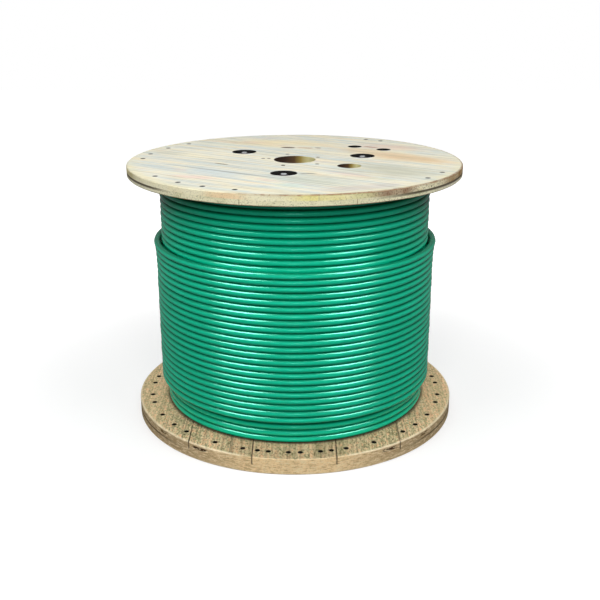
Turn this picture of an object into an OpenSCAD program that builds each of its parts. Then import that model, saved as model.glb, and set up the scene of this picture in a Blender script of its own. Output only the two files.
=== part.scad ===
// Wooden cable reel, standing on its lower flange and wound with insulated cable.
// The origin is at the centre of the lower flange's underside, and +Z runs up the reel's axis.
// Each flange is two crossed plies of boards, nailed together. Tie bolts inside the barrel
// clamp the flanges onto the staves, which stand in a groove of each inner ply.

/* [Flanges] */
// Diameter of both flanges
flange_d = 610; // [590:1:660]
// Thickness of each of the two plies of the upper flange
top_ply_t = 9.5; // [9:0.5:16]
// Thickness of each of the two plies of the lower flange
bottom_ply_t = 15; // [12:0.5:22]
// Width of the middle board of the upper flange's plies
top_middle_board_w = 136; // [132:1:140]
// Width of the board on either side of it
top_side_board_w = 152; // [148:1:156]
// Distance of the middle board's centre line from the axis
top_board_offset = 16; // [12:1:18]
// Direction that the upper flange's outer boards run in, degrees from +X
top_board_angle = -32; // [-34:1:-30]
// Width of the middle board of the lower flange's inner ply
bottom_middle_board_w = 144; // [135:1:150]
// Width of the board on either side of it
bottom_side_board_w = 112.5; // [105:0.5:130]
// Width of the two boards that meet on the axis in the lower flange's outer ply
bottom_outer_board_w = 184.5; // [175:0.5:195]
// Open joint between neighbouring boards
board_gap = 1; // [0.6:0.1:1.6]
// Chamfer sawn on the rims
rim_chamfer = 1.5; // [0.5:0.1:2.5]

/* [Barrel] */
// Outer diameter of the barrel
barrel_d = 305; // [300:1:330]
// Clear length between the flanges
traverse = 432; // [400:1:480]
// Thickness of a stave
stave_t = 12; // [9:0.5:13]
// Number of staves
stave_count = 16; // [12:1:20]
// Gap between neighbouring staves
stave_gap = 0.8; // [0.4:0.1:1.5]
// Depth of the groove that the staves stand in
groove_depth = 3; // [2:0.25:4]

/* [Holes] */
// Diameter of the arbor hole
arbor_d = 76.2; // [50:0.1:82]
// Diameter of the drive hole
drive_hole_d = 42; // [30:0.5:44]
// Distance of the drive hole from the axis
drive_hole_r = 116; // [112:0.5:118]
// Direction of the drive hole, degrees from +X
drive_hole_angle = -33.5; // [-38:0.5:-25]
// Diameter of the two cable start holes
start_hole_d = 27; // [20:0.5:30]
// Distance of the first start hole from the axis
start_hole_a_r = 188.5; // [186:0.5:192]
// Direction of the first start hole
start_hole_a_angle = 51; // [49:0.5:53]
// Distance of the second start hole from the axis
start_hole_b_r = 205; // [198:0.5:208]
// Direction of the second start hole
start_hole_b_angle = 32.5; // [31:0.5:34]

/* [Tie bolts] */
// Number of tie bolts
bolt_count = 3; // [3:1:4]
// Distance of the tie bolts' axes from the inside of the staves
bolt_stave_gap = 7.5; // [7.5:0.5:12]
// Direction of the first tie bolt
bolt_angle = 20; // [18:0.5:22]
// Diameter of a tie bolt
bolt_d = 9.5; // [8:0.1:11]
// Gap between a tie bolt and the hole that it passes through
bolt_hole_gap = 1; // [0.7:0.1:1.6]
// Gap between a washer and the wall of its recess
recess_gap = 4; // [1.5:0.5:4.5]
// Width of the nut and bolt head across the flats
nut_af = 14.3; // [13.5:0.1:17]
// Height of the thin nut
nut_h = 5.6; // [5:0.1:5.7]
// Height of the bolt head
bolt_head_h = 6.1; // [5:0.1:7.5]
// Outer diameter of a washer
washer_d = 38; // [30:0.5:39]
// Thickness of a washer
washer_t = 2; // [1.5:0.1:2.1]
// Length of the bolt's end beyond its nut
bolt_reach = 1.2; // [0.5:0.1:1.2]

/* [Nails] */
// Distance of the rim nails from the rim
rim_nail_inset = 24; // [20:0.5:29]
// Distance of the nails round the arbor hole from its edge
hub_nail_inset = 22; // [18:0.5:24]
// Diameter of a nail's head
nail_head_d = 8; // [6:0.5:10]
// Thickness of a nail's head
nail_head_t = 1; // [0.6:0.1:1.5]
// Diameter of a nail's shank
nail_d = 3.8; // [3:0.1:4.5]
// Depth of a nail's head below the face
nail_sink = 0.4; // [0.2:0.1:1]
// Wood left beyond a nail's point
nail_point_cover = 2.5; // [1.5:0.1:4]

/* [Cable] */
// Outer diameter of the cable
cable_d = 11.3; // [9:0.1:13]
// Gap between neighbouring turns
turn_gap = 0.5; // [0.45:0.05:1]
// Number of full layers
full_layers = 9; // [7:1:10]
// Gap between a turn of a full layer and the two that it lies over
full_layer_gap = 0.83; // [0.5:0.01:1.5]
// The same gap under the partial layer
outer_layer_gap = 1.1; // [1.1:0.05:2]
// Turns of the last full layer that show below the partial layer
lower_turns = 3; // [1:1:6]
// Turns of the partial layer
outer_turns = 23; // [12:1:24]
// Bend radius of the buried cable ends, in cable diameters
end_bend = 2; // [1.5:0.1:3]

/* [Hidden] */
// Clearance between a soft solid and what carries it
seat_gap = 0.3;
// Radial clearance of a stave in its groove
groove_clearance = 0.3;
// Clearance round the shank of a driven nail
nail_clearance = 0.1;
// Radial clearance of the bolt in its nut and washers
nut_clearance = 0.1;
washer_clearance = 0.5;
// How far round from its even place each tie bolt is bored, degrees
bolt_turns_off = [-2.5, -0.8, 2.2, 0];
// How much nearer to the axis than the others each tie bolt is bored
bolt_insets_off = [0, 4, 0, 0];
// Reach of a cutting solid past the face that it opens
cut = 1;
$fn = 96;

flange_r = flange_d / 2;
top_t = 2 * top_ply_t;
bottom_t = 2 * bottom_ply_t;
reel_h = bottom_t + traverse + top_t;
top_inner_z = bottom_t + traverse;
top_ply_z = reel_h - top_ply_t;
arbor_r = arbor_d / 2;
barrel_r = barrel_d / 2;
barrel_inner_r = barrel_r - stave_t;

bolt_circle_r = barrel_inner_r - bolt_stave_gap;
bolt_hole_d = bolt_d + 2 * bolt_hole_gap;
recess_d = washer_d + 2 * recess_gap;
// The recesses go right through the outer plies, so their washers bear on the inner plies
top_washer_z = top_ply_z;
bottom_washer_z = bottom_ply_t - washer_t;
bolt_end_z = top_washer_z + washer_t + nut_h + bolt_reach;
// Distance from the axis and direction of each tie bolt
bolt_places = [
    for (i = [0:bolt_count - 1])
        [bolt_circle_r - bolt_insets_off[i], bolt_angle + i * 360 / bolt_count + bolt_turns_off[i]]];

// Distances of the board joints from the axis, across the boards of a ply
top_joints = [
    -top_board_offset - top_middle_board_w / 2 - top_side_board_w,
    -top_board_offset - top_middle_board_w / 2,
    -top_board_offset + top_middle_board_w / 2,
    -top_board_offset + top_middle_board_w / 2 + top_side_board_w];
bottom_inner_joints = [
    -bottom_middle_board_w / 2 - bottom_side_board_w,
    -bottom_middle_board_w / 2,
    bottom_middle_board_w / 2,
    bottom_middle_board_w / 2 + bottom_side_board_w];
bottom_outer_joints = [-bottom_outer_board_w, 0, bottom_outer_board_w];
top_board_count = len(top_joints) + 1;
bottom_inner_board_count = len(bottom_inner_joints) + 1;
bottom_outer_board_count = len(bottom_outer_joints) + 1;

// ---- Flanges ----

// A disc with chamfered edges on the faces asked for
module flange_disc(z, t, chamfer_low, chamfer_high) {
    rotate_extrude()
        polygon([
            [0, z],
            [flange_r - chamfer_low, z],
            [flange_r, z + chamfer_low],
            [flange_r, z + t - chamfer_high],
            [flange_r - chamfer_high, z + t],
            [0, z + t]]);
}

// Upright hole at a distance and direction from the axis
module hole(r, angle, d, z_low, z_high) {
    rotate(angle)
        translate([r, 0, z_low])
            cylinder(d = d, h = z_high - z_low);
}

// The arbor hole, the drive hole and the tie bolts' holes, which pass through both flanges
module shared_holes() {
    hole(0, 0, arbor_d, -cut, reel_h + cut);
    hole(drive_hole_r, drive_hole_angle, drive_hole_d, -cut, reel_h + cut);
    for (place = bolt_places) {
        hole(place[0], place[1], bolt_hole_d, -cut, reel_h + cut);
    }
}

module top_holes() {
    shared_holes();
    hole(start_hole_a_r, start_hole_a_angle, start_hole_d, top_inner_z - cut, reel_h + cut);
    hole(start_hole_b_r, start_hole_b_angle, start_hole_d, top_inner_z - cut, reel_h + cut);
    for (place = bolt_places) {
        hole(place[0], place[1], recess_d, top_ply_z, reel_h + cut);
    }
    top_nails(concat(top_rim_nail_places, top_hub_nail_places), nail_clearance, cut);
}

module bottom_holes() {
    shared_holes();
    for (place = bolt_places) {
        hole(place[0], place[1], recess_d, -cut, bottom_ply_t);
    }
    bottom_nails(nail_clearance, cut);
}

// The groove that the staves stand in, between two heights
module stave_groove(z_low, z_high) {
    difference() {
        translate([0, 0, z_low])
            cylinder(r = barrel_r + groove_clearance, h = z_high - z_low, $fn = 180);
        translate([0, 0, z_low - cut])
            cylinder(r = barrel_inner_r - groove_clearance, h = z_high - z_low + 2 * cut, $fn = 180);
    }
}

// Distance from the axis to the low side of board i of a ply
function board_edge(i, joints) =
    i == 1 ? -flange_r - cut :
    i == len(joints) + 2 ? flange_r + cut :
    joints[i - 2];

// The slab of space that board i takes up in a ply whose boards run in the given direction
module board_space(i, joints, angle) {
    low = board_edge(i, joints) + board_gap / 2;
    high = board_edge(i + 1, joints) - board_gap / 2;
    rotate(angle)
        translate([-flange_r - cut, low, -cut])
            cube([flange_d + 2 * cut, high - low, reel_h + 2 * cut]);
}

module top_outer_board(i) {
    color([0.91, 0.87, 0.76])
        difference() {
            intersection() {
                flange_disc(top_ply_z, top_ply_t, 0, rim_chamfer);
                board_space(i, top_joints, top_board_angle);
            }
            top_holes();
        }
}

module top_inner_board(i) {
    color([0.84, 0.78, 0.62])
        difference() {
            intersection() {
                flange_disc(top_inner_z, top_ply_t, rim_chamfer, 0);
                board_space(i, top_joints, top_board_angle + 90);
            }
            top_holes();
            stave_groove(top_inner_z - cut, top_inner_z + groove_depth);
        }
}

module bottom_inner_board(i) {
    color([0.72, 0.64, 0.47])
        difference() {
            intersection() {
                flange_disc(bottom_ply_t, bottom_ply_t, 0, rim_chamfer);
                board_space(i, bottom_inner_joints, 90);
            }
            bottom_holes();
            stave_groove(bottom_t - groove_depth, bottom_t + cut);
        }
}

module bottom_outer_board(i) {
    color([0.8, 0.7, 0.53])
        difference() {
            intersection() {
                flange_disc(0, bottom_ply_t, rim_chamfer, 0);
                board_space(i, bottom_outer_joints, 0);
            }
            bottom_holes();
        }
}

// ---- Barrel ----

// One stave: a curved board standing from groove floor to groove floor
module barrel_stave(i) {
    gap_angle = stave_gap / barrel_r * 180 / PI;
    color([0.75, 0.66, 0.48])
        rotate((i - 1) * 360 / stave_count + gap_angle / 2)
            rotate_extrude(angle = 360 / stave_count - gap_angle, $fn = 180)
                translate([barrel_inner_r, bottom_t - groove_depth])
                    square([stave_t, traverse + 2 * groove_depth]);
}

// ---- Tie bolts ----

module at_bolt(place, z) {
    rotate(place[1])
        translate([place[0], 0, z])
            children();
}

// Hexagonal prism measured across its flats
module hex_prism(af, h) {
    cylinder(d = af / cos(30), h = h, $fn = 6);
}

// A long bolt whose head is under the lower washer and whose end passes through the nut
module tie_bolt(i) {
    shank_z = bottom_washer_z;
    color([0.62, 0.63, 0.64])
        at_bolt(bolt_places[i - 1], 0) {
            translate([0, 0, shank_z - bolt_head_h])
                hex_prism(nut_af, bolt_head_h);
            translate([0, 0, shank_z - bolt_head_h / 2])
                cylinder(d = bolt_d, h = bolt_end_z - shank_z + bolt_head_h / 2);
        }
}

module washer() {
    difference() {
        cylinder(d = washer_d, h = washer_t);
        translate([0, 0, -cut])
            cylinder(d = bolt_d + 2 * washer_clearance, h = washer_t + 2 * cut);
    }
}

module top_washers() {
    color([0.3, 0.29, 0.28])
        for (place = bolt_places) {
            at_bolt(place, top_washer_z)
                washer();
        }
}

module bottom_washers() {
    color([0.3, 0.29, 0.28])
        for (place = bolt_places) {
            at_bolt(place, bottom_washer_z)
                washer();
        }
}

module tie_bolt_nuts() {
    color([0.35, 0.34, 0.33])
        for (place = bolt_places) {
            at_bolt(place, top_washer_z + washer_t)
                difference() {
                    hex_prism(nut_af, nut_h);
                    translate([0, 0, -cut])
                        cylinder(d = bolt_d + 2 * nut_clearance, h = nut_h + 2 * cut);
                }
        }
}

// ---- Nails ----
// The rim nails are set out across the boards, each as [board, share of its width].

rim_nail_r = flange_r - rim_nail_inset;
hub_nail_r = arbor_r + hub_nail_inset;

function across(mark, joints) =
    mix(board_edge(mark[0], joints), board_edge(mark[0] + 1, joints), mark[1]);
function along(distance) = sqrt(rim_nail_r ^ 2 - distance ^ 2);

// Nails on the side of the flange that +X or -X points to, or on the one that +Y or -Y points to
function x_side(marks, joints, sign) = [
    for (mark = marks)
        let (y = across(mark, joints))
        [sign * along(y), y]];
function y_side(marks, joints, sign) = [
    for (mark = marks)
        let (x = across(mark, joints))
        [x, sign * along(x)]];

// Places along and across the upper flange's outer boards
top_rim_nail_places = concat(
    x_side([[3, 0.4], [3, 0.83]], top_joints, 1),
    x_side([[1, 0.7], [2, 0.63], [2, 0.93], [3, 0.44], [3, 0.9]], top_joints, -1),
    y_side([[3, 0.605], [3, 0.86]], top_joints, 1),
    y_side([[3, 0.26], [3, 0.65], [4, 0.07]], top_joints, -1));
hub_nail_angles = [136, 200, 282, 344];
top_hub_nail_places = [for (angle = hub_nail_angles) polar(hub_nail_r, angle, 0)];

// One half of the lower flange's nails; the other half mirrors it
bottom_half_places = concat(
    x_side(
        [[2, 0.26], [2, 0.55], [2, 0.74], [3, 0.04], [3, 0.21], [3, 0.57], [3, 0.83]],
        bottom_outer_joints, 1),
    y_side([[3, 0.7], [4, 0.38], [4, 0.76]], bottom_inner_joints, 1),
    y_side(
        [[3, 0.57], [3, 0.81], [3, 0.94], [4, 0.15], [4, 0.59], [5, 0.07], [5, 0.28]],
        bottom_inner_joints, -1));
bottom_rim_nail_places = concat(
    bottom_half_places,
    [for (place = bottom_half_places) [-place[0], place[1]]]);

// A nail driven down from a face; extra widens it all round and open carries its recess upwards
module nail(face_z, point_z, extra, open) {
    head_z = face_z - nail_sink - nail_head_t;
    translate([0, 0, head_z])
        cylinder(d = nail_head_d + 2 * extra, h = nail_head_t + open, $fn = 32);
    translate([0, 0, point_z - extra])
        cylinder(d = nail_d + 2 * extra, h = head_z - point_z + extra + nail_head_t / 2, $fn = 32);
}

module nails(places, face_z, point_z, extra, open) {
    for (place = places) {
        translate([place[0], place[1], 0])
            nail(face_z, point_z, extra, open);
    }
}

module top_nails(places, extra, open) {
    rotate(top_board_angle)
        nails(places, reel_h, top_inner_z + nail_point_cover, extra, open);
}

module bottom_nails(extra, open) {
    nails(bottom_rim_nail_places, bottom_t, nail_point_cover, extra, open);
}

module top_rim_nails() {
    color([0.25, 0.22, 0.2])
        top_nails(top_rim_nail_places, 0, 0);
}

module top_hub_nails() {
    color([0.25, 0.22, 0.2])
        top_nails(top_hub_nail_places, 0, 0);
}

module bottom_rim_nails() {
    color([0.25, 0.22, 0.2])
        bottom_nails(0, 0);
}

// ---- Cable ----
// The turns that show are one path. It starts in a notch at the lower flange, winds level turns of
// the full layer, climbs onto the partial layer, comes down again and ends in a notch at the top.
// A turn lies level but for a short way at +Y, where it steps up to the next one. Turns that lie
// higher step up sooner, so each one moves into a place that its neighbour has already left.

pitch = cable_d + turn_gap;
last_turn = floor(traverse / pitch);
first_outer = lower_turns + 1;
first_upper = first_outer + outer_turns;

// Each layer lies in the grooves between the turns of the one below it
function layer_rise(gap) = sqrt((cable_d + gap) ^ 2 - (pitch / 2) ^ 2);
first_layer_r = barrel_r + seat_gap + cable_d / 2;
full_layer_r = first_layer_r + (full_layers - 1) * layer_rise(full_layer_gap);
outer_layer_r = full_layer_r + layer_rise(outer_layer_gap);

// Rings of the tube in one turn, which starts just past the last step
turn_rings = 18;
step_angle = 360 / turn_rings;
turn_start_angle = 170;
// First ring of each step and its length in segments
upper_step = [10, 2];
descent_step = [12, 1];
outer_step = [13, 2];
climb_step = [15, 1];
lower_step = [16, 2];

function turn_step(turn) =
    turn < first_outer - 1 ? lower_step :
    turn < first_outer ? climb_step :
    turn < first_upper - 1 ? outer_step :
    turn < first_upper ? descent_step :
    upper_step;

function is_outer(turn) = turn >= first_outer && turn < first_upper;
function turn_r(turn) = is_outer(turn) ? outer_layer_r : full_layer_r;
// A turn of the partial layer lies over the groove between two turns of the full layer
function turn_z(turn) =
    bottom_t + pitch * (turn < first_outer ? turn + 0.5 : is_outer(turn) ? turn : turn - 0.5);
function mix(a, b, share) = a + (b - a) * share;
function polar(r, angle, z) = [r * cos(angle), r * sin(angle), z];

// Point i of the path, counted from the start of turn 0
function path_point(i) =
    let (turn = floor(i / turn_rings))
    let (ring = i - turn * turn_rings)
    let (step = turn_step(turn))
    let (share = max(0, min(1, (ring - step[0]) / step[1])))
    polar(
        mix(turn_r(turn), turn_r(turn + 1), share),
        turn_start_angle + ring * step_angle,
        mix(turn_z(turn), turn_z(turn + 1), share));

// The bend that takes a cable end off its turn and straight in towards the axis.
// side is -1 at the start of the path and 1 at its end.
tube_sides = 6;
tube_flat_r = cable_d / 2 * cos(180 / tube_sides);
end_bend_r = end_bend * cable_d;
end_bend_angle = 90;
end_bend_steps = 4;
end_margin_angle = 6;
start_bend_angle = turn_start_angle + end_margin_angle;
finish_bend_angle = turn_start_angle + upper_step[0] * step_angle - end_margin_angle;
notch_floor_r = full_layer_r - end_bend_r - cable_d - seat_gap;

function bend_point(angle, z, side, turned) =
    let (out = polar(1, angle, 0))
    let (along = polar(side, angle + 90, 0))
    out * (full_layer_r - end_bend_r * (1 - cos(turned))) + along * end_bend_r * sin(turned) + [0, 0, z];

// Points from the tangent point to the straight end, in that order
function end_points(angle, z, side) = [
    for (k = [0:end_bend_steps]) bend_point(angle, z, side, end_bend_angle * k / end_bend_steps),
    bend_point(angle, z, side, end_bend_angle) - polar(cable_d, angle, 0)];

function reversed(list) = [for (k = [len(list) - 1:-1:0]) list[k]];

// The windings meet face to face, half way along the climb and the descent
climb_i = turn_rings * (first_outer - 1) + climb_step[0];
descent_i = turn_rings * (first_upper - 1) + descent_step[0];
last_level_i = turn_rings * last_turn + upper_step[0] - 1;
function middle(i) = (path_point(i) + path_point(i + 1)) / 2;

lower_path = concat(
    reversed(end_points(start_bend_angle, turn_z(0), -1)),
    [for (i = [1:climb_i]) path_point(i)],
    [middle(climb_i)]);
outer_path = concat(
    [middle(climb_i)],
    [for (i = [climb_i + 1:descent_i]) path_point(i)],
    [middle(descent_i)]);
upper_path = concat(
    [middle(descent_i)],
    [for (i = [descent_i + 1:last_level_i]) path_point(i)],
    end_points(finish_bend_angle, turn_z(last_turn), 1));

// Least gap of the cable to itself, from each ring's centre to the segments that lie
// between half a turn and two turns further on
function segment_distance(p, a, b) =
    let (share = max(0, min(1, (p - a) * (b - a) / ((b - a) * (b - a)))))
    norm(p - mix(a, b, share));
function least_distance(path) = min([
    for (i = [0:len(path) - 2 - turn_rings / 2])
        for (j = [i + turn_rings / 2:min(i + 2 * turn_rings, len(path) - 2)])
            segment_distance(path[i], path[j], path[j + 1])]);
least_gap = least_distance(concat(
    lower_path,
    [for (i = [1:len(outer_path) - 2]) outer_path[i]],
    upper_path)) - cable_d;
echo(str("Least gap of the wound cable to itself: ", least_gap, " mm"));

function unit(v) = v / norm(v);

// Direction of a path at its point i: along the segment at an end, and between two elsewhere
function heading(path, i) =
    i == 0 ? unit(path[1] - path[0]) :
    i == len(path) - 1 ? unit(path[i] - path[i - 1]) :
    unit(unit(path[i + 1] - path[i]) + unit(path[i] - path[i - 1]));

// A closed tube along a path, with two of its corners above and below each point
module tube(path) {
    points = [
        for (i = [0:len(path) - 1])
            let (ahead = heading(path, i))
            let (side = unit(cross([0, 0, 1], ahead)))
            let (up = cross(ahead, side))
            for (k = [0:tube_sides - 1])
                let (turned = 90 + k * 360 / tube_sides)
                path[i] + (side * cos(turned) + up * sin(turned)) * cable_d / 2];
    walls = [
        for (i = [0:len(path) - 2])
            for (k = [0:tube_sides - 1])
                let (a = i * tube_sides + k)
                let (b = i * tube_sides + (k + 1) % tube_sides)
                each [[a, a + tube_sides, b], [b, a + tube_sides, b + tube_sides]]];
    last = (len(path) - 1) * tube_sides;
    start_cap = [for (k = [1:tube_sides - 2]) [0, k, k + 1]];
    end_cap = [for (k = [1:tube_sides - 2]) [last, last + k + 1, last + k]];
    polyhedron(points = points, faces = concat(walls, start_cap, end_cap), convexity = 10);
}

// How far out a round core may reach under turns whose tube runs in straight segments
function core_r(turn_centre_r) = (turn_centre_r - tube_flat_r) * cos(step_angle / 2) - seat_gap;

// The hidden layers, narrower where the last full layer shows, with a notch for each cable end
module wound_core() {
    inner_r = barrel_r + seat_gap;
    low_z = bottom_t + seat_gap;
    step_low_z = turn_z(first_outer) + cable_d / 2 + seat_gap;
    step_high_z = turn_z(first_upper - 1) - cable_d / 2 - seat_gap;
    high_z = turn_z(last_turn) + cable_d / 2;
    narrow_r = core_r(full_layer_r);
    wide_r = core_r(outer_layer_r);
    color([0.02, 0.32, 0.24])
        difference() {
            rotate_extrude($fn = 180)
                polygon([
                    [inner_r, low_z],
                    [narrow_r, low_z],
                    [narrow_r, step_low_z],
                    [wide_r, step_low_z],
                    [wide_r, step_high_z],
                    [narrow_r, step_high_z],
                    [narrow_r, high_z],
                    [inner_r, high_z]]);
            end_notch(start_bend_angle, turn_z(0), -1);
            end_notch(finish_bend_angle, turn_z(last_turn), 1);
        }
}

// Room for a cable end that bends in towards the axis, open to the nearer flange
module end_notch(angle, z, side) {
    length = end_bend_r + cable_d / 2 + seat_gap;
    low_z = side < 0 ? bottom_t - cut : z - cable_d / 2 - seat_gap;
    high_z = side < 0 ? z + cable_d / 2 + seat_gap : top_inner_z + cut;
    rotate(angle)
        translate([notch_floor_r, side < 0 ? -length : 0, low_z])
            cube([full_layer_r - notch_floor_r, length, high_z - low_z]);
}

module cable_lower_turns() {
    color([0.1, 0.62, 0.47])
        tube(lower_path);
}

module cable_outer_turns() {
    color([0.12, 0.67, 0.5])
        tube(outer_path);
}

module cable_upper_turns() {
    color([0.1, 0.6, 0.45])
        tube(upper_path);
}

// ---- Assembly ----

for (i = [1:top_board_count]) {
    top_outer_board(i);
    top_inner_board(i);
}
for (i = [1:bottom_inner_board_count]) {
    bottom_inner_board(i);
}
for (i = [1:bottom_outer_board_count]) {
    bottom_outer_board(i);
}
for (i = [1:stave_count]) {
    barrel_stave(i);
}
for (i = [1:bolt_count]) {
    tie_bolt(i);
}
tie_bolt_nuts();
top_washers();
bottom_washers();
top_rim_nails();
top_hub_nails();
bottom_rim_nails();
wound_core();
cable_lower_turns();
cable_outer_turns();
cable_upper_turns();
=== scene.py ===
import math

import bmesh
import bpy
from mathutils import Matrix, Vector


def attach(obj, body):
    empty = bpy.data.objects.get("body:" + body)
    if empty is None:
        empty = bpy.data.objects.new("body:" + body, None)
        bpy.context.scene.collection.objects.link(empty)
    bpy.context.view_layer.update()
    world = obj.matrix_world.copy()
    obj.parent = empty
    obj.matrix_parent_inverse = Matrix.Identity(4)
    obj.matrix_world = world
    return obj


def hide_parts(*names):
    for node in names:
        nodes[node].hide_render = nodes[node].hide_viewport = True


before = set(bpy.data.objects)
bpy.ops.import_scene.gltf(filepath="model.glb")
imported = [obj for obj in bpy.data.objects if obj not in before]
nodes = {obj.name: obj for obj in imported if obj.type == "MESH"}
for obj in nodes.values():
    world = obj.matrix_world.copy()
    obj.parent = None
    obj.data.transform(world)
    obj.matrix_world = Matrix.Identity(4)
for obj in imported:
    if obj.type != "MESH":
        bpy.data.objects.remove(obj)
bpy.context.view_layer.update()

MM = 0.001

# ---- Sizes, in metres unless a comment says otherwise ----

# Wood of the reel, as in the CAD source
REEL_HEIGHT = 481 * MM
FLANGE_RADIUS = 305 * MM
LOWER_PLY_LINE = 15 * MM
LOWER_FACE = 30 * MM
UPPER_UNDERSIDE = 462 * MM
UPPER_PLY_LINE = 471.5 * MM
BARREL_RADIUS = 152.5 * MM
TOP_BOARD_ANGLE = math.radians(-32)
# Distances from the axis of the open joints in the lower flange's face
LOWER_JOINTS = [72 * MM, 185 * MM]
# Bored holes: distance from the axis and radius in millimetres, direction in degrees
BOLT_RECESSES = [(133, 17.5, 23), (129, 139.2, 23), (133, 262.2, 23)]
START_HOLES = [(188.5, 51, 13.5), (205, 32.5, 13.5)]
ARBOR_HOLE = (0, 0, 38.1)
DRIVE_HOLE = (116, -33.5, 21)
# Points of one nail lie nearer together than this, in millimetres
NAIL_REACH = 9
# A ply's edge that the other ply covers is put this far off, where no wear shows
COVERED = 20 * MM

# Winding of the cable, as in the CAD source. Turns are counted from 0 at the lower flange.
CABLE_RADIUS = 5.88 * MM
PITCH = 11.8 * MM
FULL_LAYER_RADIUS = 243.25 * MM
OUTER_LAYER_RADIUS = 254.16 * MM
FIRST_OUTER = 4
FIRST_UPPER = 27
LAST_TURN = 36
# Direction in which each turn starts, in degrees
TURN_START = 170
# Degrees after a turn's start at which the first turn comes out and the last one goes in
CABLE_START = 6
CABLE_END = 194
# How far the last outer turns stand proud of their layer, in millimetres
PROUD_TURNS = {FIRST_UPPER - 1: 3.2, FIRST_UPPER - 2: 1.8, FIRST_UPPER - 3: 0.6}
END_BEND_RADIUS = 4 * CABLE_RADIUS
END_BEND_STEPS = 12
# Degrees from one point of the cable's path to the next
PATH_STEP = 4.5

# Scallops of the hidden layers: how far their middles lie inside the turns on them, how far they
# bulge from there, half their height, and the directions of their points in degrees
SCALLOP_DEPTH = 10.9 * MM
SCALLOP_BULGE = 5.4 * MM
SCALLOP_HALF_HEIGHT = 5.8 * MM
SCALLOP_DIRECTIONS = (-60, -20, 20, 60)
# Room between the hidden layers and the wood, and faces round their ring
HIDDEN_GAP = 0.3 * MM
HIDDEN_FACES = 120

# ---- Tints and marks of the wood ----

# Each is (centre, half sizes, turn, colour), and a tint has its strength too. Lengths are in
# millimetres, turns in degrees and colours 0 to 255. These are the tints round the upper rim.
RIM_TINTS = [
    ((-105, -285), (50, 50), 0, (240, 206, 158), 0.8),
    ((45, -300), (75, 40), 0, (236, 226, 142), 0.85),
    ((112, -283), (40, 40), 0, (206, 202, 140), 0.7),
    ((160, -260), (64, 54), 0, (140, 104, 78), 1.0),
    ((285, -110), (90, 130), 0, (172, 132, 78), 1.0),
    ((-285, -110), (40, 70), 0, (196, 184, 132), 0.8)]
# Dark chips in the lower flange's edge
RIM_CHIPS = [
    ((-165, -257), (26, 16), 30, (70, 48, 28)),
    ((165, -257), (26, 16), -30, (70, 48, 28)),
    ((-236, -193), (9, 14), 0, (120, 96, 60)),
    ((232, -198), (9, 14), 0, (120, 96, 60))]
# Tints and marks of the upper face, from the front boards to the back ones
FRONT_TINTS = [
    ((-137, -121), (95, 40), -36, (206, 220, 224), 0.75),
    ((-10, -172), (85, 34), -34, (206, 220, 224), 0.85),
    ((-8, -236), (40, 26), -32, (196, 224, 220), 0.6),
    ((-166, -165), (60, 20), -20, (250, 220, 204), 0.8),
    ((-60, -262), (120, 22), -20, (240, 230, 190), 0.6),
    ((110, -250), (100, 34), 20, (212, 202, 192), 0.75),
    ((30, -190), (110, 50), -30, (208, 214, 198), 0.9)]
FRONT_MARKS = [
    ((-131, -45), (18, 3.4), -32, (128, 120, 92)),
    ((-92, -246), (4, 3), -32, (120, 112, 84)),
    ((24, -134), (18, 2.6), 5, (104, 100, 90)),
    ((-210, -196), (16, 6), -38, (112, 96, 66))]
MIDDLE_TINTS = [
    ((-200, 20), (90, 70), -32, (252, 246, 218), 0.7),
    ((-240, 70), (60, 24), -24, (206, 206, 188), 0.5),
    ((170, -110), (160, 76), -32, (204, 204, 184), 1.0),
    ((120, -180), (70, 24), -20, (216, 216, 182), 0.6),
    ((-60, 60), (70, 40), -32, (222, 220, 198), 0.5),
    ((-268, -10), (46, 70), 0, (255, 250, 224), 0.7)]
MIDDLE_MARKS = [
    ((-280, 69), (13, 4), -20, (138, 122, 92)),
    ((-48, 11), (4, 4), 0, (104, 92, 66)),
    ((-20, -60), (4, 4), 0, (70, 50, 32)),
    ((43, 24), (4.5, 4), 0, (96, 78, 56))]
BACK_TINTS = [
    ((-30, 190), (150, 60), -8, (252, 234, 186), 0.75),
    ((215, 12), (140, 52), -32, (236, 204, 156), 0.9),
    ((150, 78), (120, 46), -32, (238, 212, 172), 0.8),
    ((185, 140), (100, 50), -30, (238, 214, 194), 0.8),
    ((-170, 170), (90, 50), -20, (238, 240, 222), 0.7)]
BACK_MARKS = [
    ((-14, 134), (17, 7), -8, (76, 44, 16)),
    ((20, 130), (20, 4), -10, (190, 140, 66)),
    ((45, 129), (8, 4.5), -20, (120, 84, 42)),
    ((150, 141), (18, 4), -30, (160, 96, 70)),
    ((-224, 185), (6, 6), 0, (54, 48, 38))]
# Seed of the grain, tints and marks of each board of the upper face
TOP_BOARDS = {
    1: (3.1, FRONT_TINTS, []),
    2: (5.7, FRONT_TINTS, FRONT_MARKS),
    3: (9.2, MIDDLE_TINTS, MIDDLE_MARKS),
    4: (12.4, BACK_TINTS, BACK_MARKS),
    5: (17.9, BACK_TINTS, [])}

# How squarely a point of the jacket faces away from the axis, kept on the winding's mesh; the jacket
# paints shade where it is low
FACING = "facing"

# ---- Light and camera ----

# How much of the white room a reflection shows, and the room's light on surfaces
REFLECTED_SHARE = 0.2
ROOM_LIGHT = 0.08
FLOOR_HALF_SIZE = 6.0
# Directions of the softboxes from the drum, in degrees
SOFTBOX_AZIMUTH = 55
SOFTBOX_ELEVATION = 50

CAMERA_PLACE = (0.0096, -1.636, 0.770)
CAMERA_TILT = 18.96
SENSOR_WIDTH = 36
# Focal length and frame width, both in pixels
FOCAL_PIXELS = 893
FRAME_PIXELS = 600


# ---- Shader building ----

FLOAT, VECTOR = "NodeSocketFloat", "NodeSocketVector"


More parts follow.
